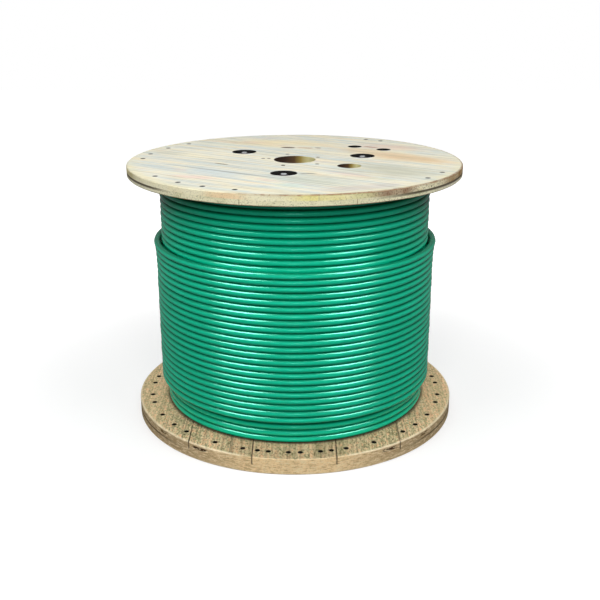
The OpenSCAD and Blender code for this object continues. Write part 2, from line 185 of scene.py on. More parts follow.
def paint(red, green, blue):
    """A colour given as 0 to 255, as a linear colour for a shader socket."""
    def linear(value):
        value = value / 255
        return value / 12.92 if value <= 0.04045 else ((value + 0.055) / 1.055) ** 2.4
    return (linear(red), linear(green), linear(blue), 1.0)


def feed(tree, socket, value):
    """Links a socket to another node's output, or sets it to a plain value."""
    if isinstance(value, bpy.types.NodeSocket):
        tree.links.new(value, socket)
    else:
        socket.default_value = value


def add(tree, kind, inputs, **settings):
    """A new node with its options set and its sockets fed; returns its outputs."""
    node = tree.nodes.new(kind)
    for name, value in settings.items():
        setattr(node, name, value)
    for name, value in inputs.items():
        feed(tree, node.inputs[name], value)
    return node.outputs


def use(tree, group, inputs):
    """A node group placed in a tree; returns its outputs."""
    return add(tree, "ShaderNodeGroup", inputs, node_tree=group)


def calc(tree, operation, first, second=0.0):
    return add(tree, "ShaderNodeMath", {0: first, 1: second}, operation=operation)[0]


def plus(tree, first, second):
    return calc(tree, "ADD", first, second)


def minus(tree, first, second):
    return calc(tree, "SUBTRACT", first, second)


def times(tree, first, second):
    return calc(tree, "MULTIPLY", first, second)


def hypotenuse(tree, first, second):
    return calc(tree, "SQRT", plus(
        tree, times(tree, first, first), times(tree, second, second)))


def vector_calc(tree, operation, first, second):
    return add(tree, "ShaderNodeVectorMath", {0: first, 1: second}, operation=operation)[0]


def vector_length(tree, vector):
    return add(tree, "ShaderNodeVectorMath", {0: vector}, operation="LENGTH")["Value"]


def coordinates(tree, vector):
    """X, Y and Z of a vector."""
    return add(tree, "ShaderNodeSeparateXYZ", {"Vector": vector})


def blend(tree, share, under, over):
    """One colour laid over another by a share from 0 to 1."""
    return add(tree, "ShaderNodeMix", {"Factor": share, 6: under, 7: over}, data_type="RGBA")[2]


def fade(tree, value, low, high, start=0.0, end=1.0):
    """A smooth step from start to end as value goes from low to high."""
    return add(tree, "ShaderNodeMapRange", {
        "Value": value, "From Min": low, "From Max": high, "To Min": start, "To Max": end},
        interpolation_type="SMOOTHSTEP")["Result"]


def lay_tone(tree, color, value, low, high, strength, tone):
    """A tone laid on a colour, up to a strength, as value goes from low to high."""
    return blend(tree, fade(tree, value, low, high, 0.0, strength), color, paint(*tone))


def glaze(tree, color, mask, strength, tone):
    """A tone laid on a colour over a mask, up to a strength."""
    return blend(tree, times(tree, mask, strength), color, paint(*tone))


def cloud(tree, vector, scale, detail=3.0, roughness=0.55):
    """Noise over a stretched vector; scale is cells per metre along each axis."""
    return add(tree, "ShaderNodeTexNoise", {
        "Vector": vector_calc(tree, "MULTIPLY", vector, scale), "Scale": 1.0,
        "Detail": detail, "Roughness": roughness})["Fac"]


def ramp(tree, value, stops):
    """Colours along a value: each stop is its position and its colour as 0 to 255."""
    node = tree.nodes.new("ShaderNodeValToRGB")
    feed(tree, node.inputs["Fac"], value)
    stops = [(position, paint(*tone)) for position, tone in stops]
    points = node.color_ramp.elements
    points[0].position, points[0].color = stops[0]
    points[1].position, points[1].color = stops[-1]
    for position, color in stops[1:-1]:
        points.new(position).color = color
    return node.outputs["Color"]


def new_group(name, inputs, outputs):
    """A shader node group with named sockets; returns its tree, what it is given and puts out."""
    tree = bpy.data.node_groups.new(name, "ShaderNodeTree")
    for socket_name, kind, value in inputs:
        socket = tree.interface.new_socket(socket_name, in_out="INPUT", socket_type=kind)
        if value is not None:
            socket.default_value = value
    for socket_name in outputs:
        tree.interface.new_socket(socket_name, in_out="OUTPUT", socket_type=FLOAT)
    given = tree.nodes.new("NodeGroupInput").outputs
    out = tree.nodes.new("NodeGroupOutput").inputs
    return tree, given, out


def new_material(name):
    """A material, its tree, the inputs of its shader, and Object coordinates."""
    material = bpy.data.materials.new(name)
    material.use_nodes = True
    tree = material.node_tree
    place = tree.nodes.new("ShaderNodeTexCoord").outputs["Object"]
    return material, tree, tree.nodes["Principled BSDF"].inputs, place


def set_finish(tree, shader, color, roughness, gloss):
    feed(tree, shader["Base Color"], color)
    feed(tree, shader["Roughness"], roughness)
    shader["Specular IOR Level"].default_value = gloss


def bump(tree, shader, height, strength, distance):
    normal = add(tree, "ShaderNodeBump", {
        "Height": height, "Strength": strength, "Distance": distance})["Normal"]
    feed(tree, shader["Normal"], normal)


# ---- Shared effects ----

def make_timber_group():
    """Sawn softwood in board coordinates: X along the grain, Y across the board, Z through it.

    Growth rings are cylinders round a heart line below the board, bent by a slow noise, so a face
    shows long lines and flames and an end shows arcs. Fibre gives the fine streaks of the saw.
    """
    tree, given, out = new_group(
        "sawn_timber",
        [("Vector", VECTOR, None), ("Seed", FLOAT, 0.0), ("Ring Width", FLOAT, 0.008),
         ("Heart Depth", FLOAT, 0.05), ("Warp", FLOAT, 0.03)],
        ["Rings", "Fibre", "Streaks", "Patches", "Checks"])
    shift = add(tree, "ShaderNodeCombineXYZ", {
        "X": times(tree, given["Seed"], 1.37), "Y": times(tree, given["Seed"], 0.731),
        "Z": times(tree, given["Seed"], 0.293)})[0]
    board = vector_calc(tree, "ADD", given["Vector"], shift)
    at = coordinates(tree, given["Vector"])

    slow = cloud(tree, board, (2.2, 6.0, 6.0), 2.0, 0.5)
    bend = times(tree, minus(tree, slow, 0.5), given["Warp"])
    aside = plus(tree, plus(tree, at["Y"], bend), times(
        tree, calc(tree, "SINE", given["Seed"]), 50 * MM))
    # Heart lines lie 100 mm apart up the reel; the metre keeps the height above zero
    height = plus(tree, minus(tree, at["Z"], REEL_HEIGHT / 2), 1.0)
    deep = plus(tree, calc(tree, "MODULO", height, 100 * MM), given["Heart Depth"])
    jitter = times(tree, cloud(tree, board, (4.0, 60.0, 60.0), 2.0), 0.9)
    rings_out = calc(tree, "DIVIDE", hypotenuse(tree, aside, deep), given["Ring Width"])
    ring = calc(tree, "FRACT", plus(tree, rings_out, jitter))
    feed(tree, out["Rings"], times(tree, fade(tree, ring, 0.45, 0.92), fade(tree, ring, 1.0, 0.93)))

    fine = cloud(tree, board, (14.0, 620.0, 620.0), 3.0, 0.6)
    coarse = cloud(tree, board, (5.0, 170.0, 170.0), 3.0, 0.6)
    feed(tree, out["Fibre"], plus(tree, times(tree, fine, 0.55), times(tree, coarse, 0.45)))
    feed(tree, out["Streaks"], cloud(tree, board, (2.4, 75.0, 75.0), 4.0, 0.62))
    feed(tree, out["Patches"], cloud(tree, board, (7.0, 22.0, 22.0), 4.0, 0.6))
    cracks = cloud(tree, board, (3.5, 95.0, 95.0), 1.0, 0.4)
    feed(tree, out["Checks"], fade(tree, cracks, 0.70, 0.76))
    return tree


def make_patch_group():
    """1 in an oval seen along Z and 0 outside it. Softness 1 fades from its middle outwards."""
    tree, given, out = new_group(
        "oval_patch",
        [("Vector", VECTOR, None), ("Centre", VECTOR, None), ("Reach", VECTOR, None),
         ("Turn", FLOAT, 0.0), ("Softness", FLOAT, 0.2), ("Ragged", FLOAT, 0.0)],
        ["Mask"])
    away = vector_calc(tree, "SUBTRACT", given["Vector"], given["Centre"])
    turned = add(tree, "ShaderNodeVectorRotate", {
        "Vector": away, "Angle": times(tree, given["Turn"], -1.0)}, rotation_type="Z_AXIS")[0]
    length = vector_length(tree, vector_calc(tree, "DIVIDE", turned, given["Reach"]))
    noise = cloud(tree, given["Vector"], (110.0, 110.0, 110.0), 3.0)
    wobble = times(tree, minus(tree, noise, 0.5), given["Ragged"])
    inside = minus(tree, 1.0, plus(tree, length, wobble))
    feed(tree, out["Mask"], fade(tree, calc(tree, "DIVIDE", inside, given["Softness"]), 0.0, 1.0))
    return tree


def make_spot_group():
    """1 in a circle seen along Z and 0 outside it, with a soft edge."""
    tree, given, out = new_group(
        "round_spot",
        [("Vector", VECTOR, None), ("Centre", VECTOR, None), ("Radius", FLOAT, 0.01),
         ("Edge", FLOAT, 0.0005)],
        ["Mask"])
    away = vector_calc(tree, "SUBTRACT", given["Vector"], given["Centre"])
    length = vector_length(tree, vector_calc(tree, "MULTIPLY", away, (1.0, 1.0, 0.0)))
    depth = minus(tree, given["Radius"], length)
    feed(tree, out["Mask"], fade(tree, calc(tree, "DIVIDE", depth, given["Edge"]), 0.0, 1.0))
    return tree


def make_rim_group():
    """Where on a flange a point lies: its distance from the axis and masks of its nibbled edges."""
    tree, given, out = new_group(
        "flange_rim",
        [("Vector", VECTOR, None), ("Low", FLOAT, 0.0), ("High", FLOAT, 0.03),
         ("Unbroken", FLOAT, 0.0)],
        ["Side", "Rim Edges", "Dirt", "Grit", "Radius"])
    at = coordinates(tree, given["Vector"])
    radius = hypotenuse(tree, at["X"], at["Y"])
    feed(tree, out["Radius"], radius)
    feed(tree, out["Side"], fade(
        tree, radius, FLANGE_RADIUS - 1.0 * MM, FLANGE_RADIUS - 0.3 * MM))
    near_rim = fade(tree, radius, FLANGE_RADIUS - 5 * MM, FLANGE_RADIUS - 1.2 * MM)
    near_low = fade(tree, minus(tree, at["Z"], given["Low"]), 3.2 * MM, 0.8 * MM)
    near_high = fade(tree, minus(tree, given["High"], at["Z"]), 3.2 * MM, 0.8 * MM)
    edge = calc(tree, "MAXIMUM", near_low, near_high)
    nibbles = cloud(tree, given["Vector"], (90.0, 90.0, 90.0), 4.0, 0.65)
    nibbled = calc(tree, "MAXIMUM", fade(tree, nibbles, 0.38, 0.56), given["Unbroken"])
    feed(tree, out["Rim Edges"], times(tree, times(tree, near_rim, edge), nibbled))
    dirt = cloud(tree, given["Vector"], (22.0, 22.0, 60.0), 5.0, 0.7)
    feed(tree, out["Dirt"], fade(tree, dirt, 0.45, 0.72))
    grit = cloud(tree, given["Vector"], (420.0, 420.0, 420.0), 2.0, 0.7)
    feed(tree, out["Grit"], fade(tree, grit, 0.50, 0.70))
    return tree


timber = make_timber_group()
oval = make_patch_group()
spot = make_spot_group()
rim = make_rim_group()


# ---- Holes, nails and marks ----

def board_place(tree, place, angle):
    """Object coordinates turned so that X runs along a board."""
    return add(tree, "ShaderNodeMapping", {"Vector": place, "Rotation": (0.0, 0.0, -angle)})[0]


def patch(tree, place, centre, reach, turn, softness, ragged):
    """Mask of an oval: its centre and half sizes in millimetres and its turn in degrees."""
    return use(tree, oval, {
        "Vector": place, "Centre": (centre[0] * MM, centre[1] * MM, 0.0),
        "Reach": (reach[0] * MM, reach[1] * MM, 100.0), "Turn": math.radians(turn),
        "Softness": softness, "Ragged": ragged})["Mask"]


def spots(tree, place, places, radius, edge):
    """Mask of round spots at places in millimetres; radius and edge are in millimetres too."""
    together = 0.0
    for x, y in places:
        mask = use(tree, spot, {
            "Vector": place, "Centre": (x * MM, y * MM, 0.0),
            "Radius": radius * MM, "Edge": edge * MM})["Mask"]
        together = calc(tree, "MAXIMUM", together, mask)
    return together


def nail_places(name):
    """Centres of a node's nail heads, in millimetres."""
    groups = []
    for vertex in nodes[name].data.vertices:
        at = Vector(vertex.co[:2]) / MM
        near = [group for group in groups if (at - group[0]).length < NAIL_REACH]
        if near:
            near[0].append(at)
        else:
            groups.append([at])
    return [sum(group, Vector((0, 0))) / len(group) for group in groups]


TOP_NAILS = nail_places("top_rim_nails")
BOTTOM_NAILS = nail_places("bottom_rim_nails")


def hole_centre(hole):
    distance, direction, _ = hole
    turned = math.radians(direction)
    return distance * math.cos(turned), distance * math.sin(turned)


def hole_mask(tree, place, hole):
    """Mask of a round hole's wall and of what lies within it."""
    return spots(tree, place, [hole_centre(hole)], hole[2] + 0.5, 0.3)


def paint_hole_light_and_shade(tree, place, color):
    """Painted shade: black in recesses and start holes, lit and shaded brown walls in arbor and
    drive holes.
    """
    at = coordinates(tree, place)
    # Painted light and shade: each wall is painted dark brown at its left and lit yellow at its
    # right
    for hole in (ARBOR_HOLE, DRIVE_HOLE):
        middle = hole_centre(hole)[0] * MM
        radius = hole[2] * MM
        across = fade(tree, at["X"], middle - 0.7 * radius, middle + radius)
        wear_and_painted_light = ramp(tree, across, [
            (0.0, (44, 26, 16)), (0.35, (78, 54, 24)), (0.62, (150, 128, 62)),
            (0.9, (214, 206, 150))])
        color = blend(tree, hole_mask(tree, place, hole), color, wear_and_painted_light)
    # Painted shade: the recesses and start holes are painted near black inside, with a thin dark rim
    # round each
    for hole in BOLT_RECESSES + START_HOLES:
        color = blend(tree, hole_mask(tree, place, hole), color, paint(10, 9, 8))
    return color


def lay_patches(tree, place, color, patches, share):
    """Broad soft tints, broken up by share."""
    for centre, reach, turn, tint, strength in patches:
        mask = patch(tree, place, centre, reach, turn, softness=0.8, ragged=0.25)
        amount = times(tree, times(tree, mask, strength), share)
        color = blend(tree, amount, color, paint(*tint))
    return color


def lay_marks(tree, place, color, marks):
    """Small hard marks, such as knots and dents."""
    for centre, reach, turn, tint in marks:
        mask = patch(tree, place, centre, reach, turn, softness=0.35, ragged=0.3)
        color = blend(tree, mask, color, paint(*tint))
    return color


def hole_lip_highlights():
    """Painted highlights: pale crescents along the front of each recess and of the second start
    hole.
    """
    lip_highlights = []
    for hole in BOLT_RECESSES + START_HOLES[1:]:
        x, y = hole_centre(hole)
        radius = hole[2]
        lip_highlights.append(((x + 2, y - radius + 2), (0.85 * radius, 6.5), 0, (252, 251, 246)))
    return lip_highlights


# ---- Materials ----

def top_board(name, seed, patches, marks):
    """Pale weathered board of the upper flange's outer ply."""
    material, tree, shader, place = new_material(name)
    board = board_place(tree, place, TOP_BOARD_ANGLE)
    wood = use(tree, timber, {
        "Vector": board, "Seed": seed, "Ring Width": 0.009, "Heart Depth": 0.03, "Warp": 0.05})
    edge = use(tree, rim, {
        "Vector": place, "Low": UPPER_PLY_LINE - COVERED, "High": REEL_HEIGHT, "Unbroken": 0.65})
    at = coordinates(tree, place)

    mottled = cloud(tree, board, (14.0, 40.0, 40.0), 5.0, 0.65)
    tone = plus(tree, times(tree, wood["Streaks"], 0.5), times(tree, mottled, 0.5))
    color = ramp(tree, tone, [
        (0.34, (202, 214, 214)), (0.43, (224, 229, 221)), (0.50, (238, 236, 220)),
        (0.58, (246, 239, 212)), (0.68, (240, 222, 194))])
    broken = fade(tree, wood["Patches"], 0.30, 0.62, 0.55, 1.0)
    color = lay_patches(tree, place, color, patches, broken)
    color = lay_tone(tree, color, wood["Patches"], 0.58, 0.74, 0.45, (232, 200, 184))
    color = glaze(tree, color, wood["Rings"], 0.35, (180, 172, 144))
    color = lay_tone(tree, color, wood["Fibre"], 0.52, 0.34, 0.5, (150, 148, 132))
    color = lay_tone(tree, color, wood["Fibre"], 0.56, 0.68, 0.5, (244, 243, 232))
    color = glaze(tree, color, wood["Checks"], 0.45, (112, 100, 78))
    color = lay_marks(tree, place, color, marks)
    near_rim = fade(tree, edge["Radius"], FLANGE_RADIUS - 25 * MM, FLANGE_RADIUS - 1 * MM)
    yellowed = times(tree, near_rim, fade(tree, at["Y"], 100 * MM, -160 * MM, 0.1, 0.5))
    color = blend(tree, times(tree, yellowed, broken), color, paint(232, 224, 176))

    # The rim: tinted, and grittier at its front right
    rim_color = blend(tree, edge["Dirt"], paint(240, 234, 200), paint(222, 210, 168))
    rim_color = lay_patches(tree, place, rim_color, RIM_TINTS, broken)
    right = times(tree, fade(tree, at["X"], 60 * MM, 170 * MM),
                  fade(tree, at["Y"], 140 * MM, -20 * MM))
    grit = times(tree, edge["Grit"], plus(tree, times(tree, right, 0.7), 0.3))
    rim_color = blend(tree, grit, rim_color, paint(92, 68, 46))
    color = blend(tree, edge["Side"], color, rim_color)
    rubbed = fade(tree, at["X"], -150 * MM, -20 * MM, 0.1, 0.9)
    color = blend(tree, times(tree, edge["Rim Edges"], rubbed), color, paint(136, 98, 62))

    # Painted shade: a dark ring round each nail head, wider than the head, as the shade of its
    # recess
    color = blend(tree, spots(tree, place, TOP_NAILS, 5.6, 2.0), color, paint(34, 28, 22))
    # Painted highlights along the front lips of the recesses and of the second start hole
    color = lay_marks(tree, place, color, hole_lip_highlights())
    color = paint_hole_light_and_shade(tree, place, color)
    roughness = fade(tree, wood["Fibre"], 0.3, 0.7, 0.66, 0.84)
    set_finish(tree, shader, color, roughness, gloss=0.2)
    height = plus(tree, times(tree, wood["Fibre"], 0.6), times(tree, wood["Rings"], 0.4))
    bump(tree, shader, height, 0.4, 0.7 * MM)
    return material


def top_inner_board(name, seed):
    """Board of the upper flange's inner ply, seen at the rim and from below."""
    material, tree, shader, place = new_material(name)
    board = board_place(tree, place, TOP_BOARD_ANGLE + math.pi / 2)
    wood = use(tree, timber, {
        "Vector": board, "Seed": seed, "Ring Width": 0.007, "Heart Depth": 0.02, "Warp": 0.03})
    edge = use(tree, rim, {
        "Vector": place, "Low": UPPER_UNDERSIDE, "High": UPPER_PLY_LINE + COVERED})
    at = coordinates(tree, place)

    color = ramp(tree, wood["Streaks"], [
        (0.30, (190, 182, 150)), (0.50, (214, 200, 160)), (0.72, (208, 176, 124))])
    color = glaze(tree, color, wood["Rings"], 0.4, (150, 124, 80))
    color = lay_tone(tree, color, wood["Fibre"], 0.56, 0.40, 0.4, (120, 106, 80))
    front = fade(tree, at["Y"], -100 * MM, -260 * MM)
    rim_color = blend(tree, front, paint(232, 226, 202), paint(232, 226, 190))
    rim_color = blend(tree, edge["Dirt"], rim_color, paint(196, 190, 146))
    rim_color = glaze(tree, rim_color, edge["Grit"], 0.6, (96, 92, 58))
    color = blend(tree, edge["Side"], color, rim_color)

    # The dark line under the outer ply, at the left and right of the rim
    line = fade(tree, at["Z"], UPPER_PLY_LINE - 5 * MM, UPPER_PLY_LINE - 2.5 * MM)
    right = fade(tree, at["X"], 100 * MM, 200 * MM)
    left = fade(tree, at["X"], -190 * MM, -240 * MM)
    line = times(tree, times(tree, edge["Side"], line), calc(tree, "MAXIMUM", right, left))
    color = glaze(tree, color, line, 0.92, (62, 48, 26))
    color = paint_hole_light_and_shade(tree, place, color)
    set_finish(tree, shader, color, roughness=0.78, gloss=0.3)
    bump(tree, shader, wood["Fibre"], 0.4, 0.6 * MM)
    return material


def bottom_rim_color(tree, place, at, aside, edge):
    """Colour of the lower flange's edge: palest in front as painted light, lined and chipped.

    At the sides a dark line runs between the two plies.
    """
    # Painted light: the edge is painted paler near the middle in X, in front and behind, darker
    # towards the sides
    color = blend(tree, fade(tree, aside, 200 * MM, 60 * MM),
                  paint(202, 176, 134), paint(255, 222, 168))
    lines = cloud(tree, place, (90.0, 90.0, 420.0), 3.0, 0.7)
    color = lay_tone(tree, color, lines, 0.49, 0.35, 0.6, (168, 136, 92))
    color = lay_tone(tree, color, lines, 0.50, 0.64, 0.8, (255, 234, 190))
    color = glaze(tree, color, edge["Grit"], 0.3, (146, 112, 72))
    color = glaze(tree, color, edge["Dirt"], 0.15, (160, 150, 108))
    chip_band = times(tree, fade(tree, at["Z"], 19.5 * MM, 21.5 * MM),
                      fade(tree, at["Z"], 26.5 * MM, 25 * MM))
    chipped = times(tree, chip_band, fade(tree, lines, 0.64, 0.52))
    color = blend(tree, chipped, color, lay_marks(tree, place, color, RIM_CHIPS))
    off_line = calc(tree, "ABSOLUTE", minus(tree, at["Z"], LOWER_PLY_LINE))
    ply_line = times(tree, fade(tree, off_line, 2.4 * MM, 1.0 * MM),
                     fade(tree, aside, 190 * MM, 250 * MM, 0.0, 0.8))
    return blend(tree, ply_line, color, paint(82, 64, 38))


def bottom_board(name, seed, angle, low, high, tint, joints):
    """Weathered grey-tan board of the lower flange, trodden darker than the upper one."""
    material, tree, shader, place = new_material(name)
    board = board_place(tree, place, angle)
    wood = use(tree, timber, {
        "Vector": board, "Seed": seed, "Ring Width": 0.006, "Heart Depth": 0.02, "Warp": 0.03})
    edge = use(tree, rim, {"Vector": place, "Low": low, "High": high, "Unbroken": 0.6})
    at = coordinates(tree, place)
    aside = calc(tree, "ABSOLUTE", at["X"])

    mottled = cloud(tree, board, (40.0, 70.0, 70.0), 5.0, 0.7)
    tone = plus(tree, times(tree, wood["Streaks"], 0.5), plus(
        tree, times(tree, mottled, 0.5), tint))
    color = ramp(tree, tone, [
        (0.37, (152, 146, 104)), (0.45, (196, 184, 138)), (0.51, (224, 204, 162)),
        (0.57, (240, 202, 158)), (0.66, (226, 170, 128))])
    flecks = cloud(tree, board, (110.0, 190.0, 190.0), 4.0, 0.8)
    color = lay_tone(tree, color, flecks, 0.53, 0.61, 0.95, (248, 188, 142))
    color = lay_tone(tree, color, flecks, 0.47, 0.38, 0.9, (108, 106, 66))
    speckle = cloud(tree, board, (170.0, 300.0, 300.0), 3.0, 0.65)
    color = lay_tone(tree, color, speckle, 0.53, 0.62, 0.8, (250, 220, 176))
    color = lay_tone(tree, color, speckle, 0.47, 0.37, 0.8, (104, 84, 54))
    color = glaze(tree, color, wood["Rings"], 0.3, (122, 98, 62))
    color = lay_tone(tree, color, wood["Fibre"], 0.52, 0.34, 0.55, (112, 98, 70))
    color = lay_tone(tree, color, wood["Fibre"], 0.54, 0.66, 0.5, (226, 208, 168))
    color = glaze(tree, color, wood["Checks"], 0.5, (66, 52, 36))

    # Painted shadow and light: darker in the middle and paler towards the sides
    color = lay_tone(tree, color, aside, 200 * MM, 60 * MM, 0.3, (112, 96, 62))
    color = lay_tone(tree, color, aside, 200 * MM, 270 * MM, 0.3, (248, 216, 168))
    # Painted contact shadow: a dark ring on the face round the foot of the winding
    color = lay_tone(tree, color, edge["Radius"], 255.5 * MM, 247.5 * MM, 0.85, (40, 40, 26))
    color = blend(tree, edge["Side"], color, bottom_rim_color(tree, place, at, aside, edge))
    # Pale edge round the rim: partly wear and partly a painted highlight, stronger towards the sides
    wear_and_painted_light = times(tree, edge["Rim Edges"], fade(tree, aside, 70 * MM, 120 * MM, 0.15, 0.95))
    color = blend(tree, wear_and_painted_light, color, paint(242, 224, 188))
    for joint in joints:
        off_joint = calc(tree, "ABSOLUTE", minus(tree, aside, joint))
        crack = times(tree, fade(tree, off_joint, 1.8 * MM, 0.6 * MM),
                      fade(tree, flecks, 0.60, 0.48, 0.2, 0.75))
        color = blend(tree, crack, color, paint(58, 44, 28))
    # Painted shade: a dark ring round each nail head, wider than the head, as the shade of its
    # recess
    color = blend(tree, spots(tree, place, BOTTOM_NAILS, 5.4, 1.4), color, paint(30, 25, 20))
    color = paint_hole_light_and_shade(tree, place, color)
    set_finish(tree, shader, color, roughness=0.85, gloss=0.2)
    height = plus(tree, times(tree, wood["Fibre"], 0.7), times(tree, wood["Rings"], 0.3))
    bump(tree, shader, height, 0.5, 0.8 * MM)
    return material


def stave_wood():
    """Sawn pine of the barrel, grain upright."""
    material, tree, shader, place = new_material("barrel_pine")
    upright = add(tree, "ShaderNodeMapping", {
        "Vector": place, "Rotation": (0.0, math.pi / 2, 0.0)})[0]
    wood = use(tree, timber, {"Vector": upright, "Seed": 7.3, "Ring Width": 0.007})
    color = ramp(tree, wood["Streaks"], [
        (0.3, (150, 126, 78)), (0.5, (186, 156, 98)), (0.7, (198, 158, 96))])
    color = glaze(tree, color, wood["Rings"], 0.4, (120, 90, 50))
    color = lay_tone(tree, color, wood["Fibre"], 0.56, 0.4, 0.4, (100, 80, 50))
    set_finish(tree, shader, color, roughness=0.8, gloss=0.5)
    bump(tree, shader, wood["Fibre"], 0.4, 0.6 * MM)
    return material


def steel(name, bright, dull, metallic, roughness, rust, gloss):
    """Bare, plated or blackened steel, smudged, and rusty in places."""
    material, tree, shader, place = new_material(name)
    smudge = cloud(tree, place, (160.0, 160.0, 160.0), 4.0, 0.65)
    color = blend(tree, fade(tree, smudge, 0.35, 0.65), paint(*bright), paint(*dull))
    rusting = cloud(tree, place, (90.0, 90.0, 90.0), 4.0, 0.7)
    color = lay_tone(tree, color, rusting, 0.55, 0.7, rust, (92, 52, 28))
    set_finish(tree, shader, color, fade(
        tree, smudge, 0.3, 0.7, roughness, roughness + 0.2), gloss)
    shader["Metallic"].default_value = metallic
    bump(tree, shader, smudge, 0.3, 0.2 * MM)
    return material


def cable_jacket():
    """Glossy green jacket, a little darker and duller on some turns, with painted shade where turns
    meet.
    """
    material, tree, shader, place = new_material("green_cable_jacket")
    at = coordinates(tree, place)
    around = calc(tree, "ARCTAN2", at["Y"], at["X"])
    along = add(tree, "ShaderNodeCombineXYZ", {
        "X": times(tree, around, 0.9), "Y": 0.0, "Z": times(tree, at["Z"], 90.0)})[0]
    color = ramp(tree, cloud(tree, along, (1.0, 1.0, 1.0), 2.0, 0.5), [
        (0.30, (7, 192, 146)), (0.50, (9, 203, 157)), (0.72, (15, 212, 166))])
    rubbed = cloud(tree, along, (14.0, 1.0, 6.0), 4.0, 0.6)
    color = lay_tone(tree, color, rubbed, 0.6, 0.8, 0.2, (50, 200, 156))
    color = lay_tone(tree, color, rubbed, 0.36, 0.22, 0.3, (4, 140, 98))
    facing = add(tree, "ShaderNodeAttribute", {}, attribute_name=FACING)["Fac"]
    # Painted shade: darker where the jacket turns up or down into the groove between turns
    color = lay_tone(tree, color, facing, 0.5, 0.0, 0.75, (0, 96, 66))
    set_finish(tree, shader, color, fade(tree, rubbed, 0.3, 0.75, 0.17, 0.25), gloss=0.9)
    shader["Specular Tint"].default_value = (0.35, 1.0, 0.85, 1.0)
    ripple = cloud(tree, along, (30.0, 1.0, 2.0), 2.0, 0.5)
    bump(tree, shader, ripple, 0.08, 0.3 * MM)
    return material


# ---- Winding ----

def is_outer(turn):
    return FIRST_OUTER <= turn < FIRST_UPPER


def turn_radius(turn):
    """Radius of a turn's centre line. The last outer turns stand a little proud of the layer."""
    if not is_outer(turn):
        return FULL_LAYER_RADIUS + 0.25 * MM * math.sin(turn * 2.1)
    return OUTER_LAYER_RADIUS + (PROUD_TURNS.get(turn, 0.0) + 0.3 * math.sin(turn * 1.7)) * MM


def turn_height(turn):
    """Height of a turn's centre line. The outer turns lie between those of the layer beneath."""
    rows = turn + 0.5 if turn < FIRST_OUTER else turn if is_outer(turn) else turn - 0.5
    return LOWER_FACE + PITCH * rows


def step_window(turn):
    """Degrees after the turn's start between which it steps up to the next turn."""
    if turn < FIRST_OUTER - 1:
        return 320, 360
    if turn < FIRST_OUTER:
        return 300, 320
    if turn < FIRST_UPPER - 1:
        return 260, 300
    if turn < FIRST_UPPER:
        return 240, 260
    return 200, 240


def winding_point(turn, degrees):
    """Point of the cable's centre line, by its turn and the degrees after the turn's start."""
    low, high = step_window(turn)
    share = min(1.0, max(0.0, (degrees - low) / (high - low)))
    share = share * share * (3 - 2 * share)
    radius = turn_radius(turn) + share * (turn_radius(turn + 1) - turn_radius(turn))
    height = turn_height(turn) + share * (turn_height(turn + 1) - turn_height(turn))
    angle = math.radians(TURN_START + degrees)
    return Vector((radius * math.cos(angle), radius * math.sin(angle), height))


def end_bend(turn, degrees, side):
    """The cable's end, bent in towards the axis between two turns of the layer below."""
    angle = math.radians(TURN_START + degrees)
    out = Vector((math.cos(angle), math.sin(angle), 0))
    along = Vector((-out.y, out.x, 0)) * side
    points = []
    for step in range(END_BEND_STEPS + 1):
        turned = math.radians(90 * step / END_BEND_STEPS)
        radius = FULL_LAYER_RADIUS - END_BEND_RADIUS * (1 - math.cos(turned))
        points.append(out * radius + along * END_BEND_RADIUS * math.sin(turned)
                      + Vector((0, 0, turn_height(turn))))
    points.append(points[-1] - out * 2 * CABLE_RADIUS)
    return points


def winding_path():
    """Points of the whole cable, from the end that comes out to the end that goes in."""
    points = list(reversed(end_bend(0, CABLE_START, -1)))
    for turn in range(LAST_TURN + 1):
        degrees = CABLE_START + 2 if turn == 0 else 0
        stop = CABLE_END if turn == LAST_TURN else 360
        while degrees < stop:
            points.append(winding_point(turn, degrees))
            degrees += PATH_STEP
    return points + end_bend(LAST_TURN, CABLE_END, 1)


def make_winding():
    """The whole cable that shows, one tube from its first turn to its last."""
    line = bpy.data.curves.new("winding_line", "CURVE")
    line.dimensions = "3D"
    line.bevel_depth = CABLE_RADIUS
    line.bevel_resolution = 4
    line.use_fill_caps = True
    points = winding_path()
    spline = line.splines.new("POLY")
    spline.points.add(len(points) - 1)
    for knot, point in zip(spline.points, points):
        knot.co = (*point, 1.0)
    carrier = bpy.data.objects.new("winding_line", line)
    bpy.context.scene.collection.objects.link(carrier)
    bpy.context.view_layer.update()
    swept = carrier.evaluated_get(bpy.context.evaluated_depsgraph_get())
    mesh = bpy.data.meshes.new_from_object(swept)
    bpy.data.objects.remove(carrier)
    bpy.data.curves.remove(line)

    facing = mesh.attributes.new(FACING, "FLOAT", "POINT")
    ring = len(mesh.vertices) // len(points)
    for vertex in mesh.vertices:
        middle = points[min(vertex.index // ring, len(points) - 1)]
        outward = Vector((middle.x, middle.y, 0)).normalized()
        facing.data[vertex.index].value = (vertex.co - middle).dot(outward) / CABLE_RADIUS
    return mesh


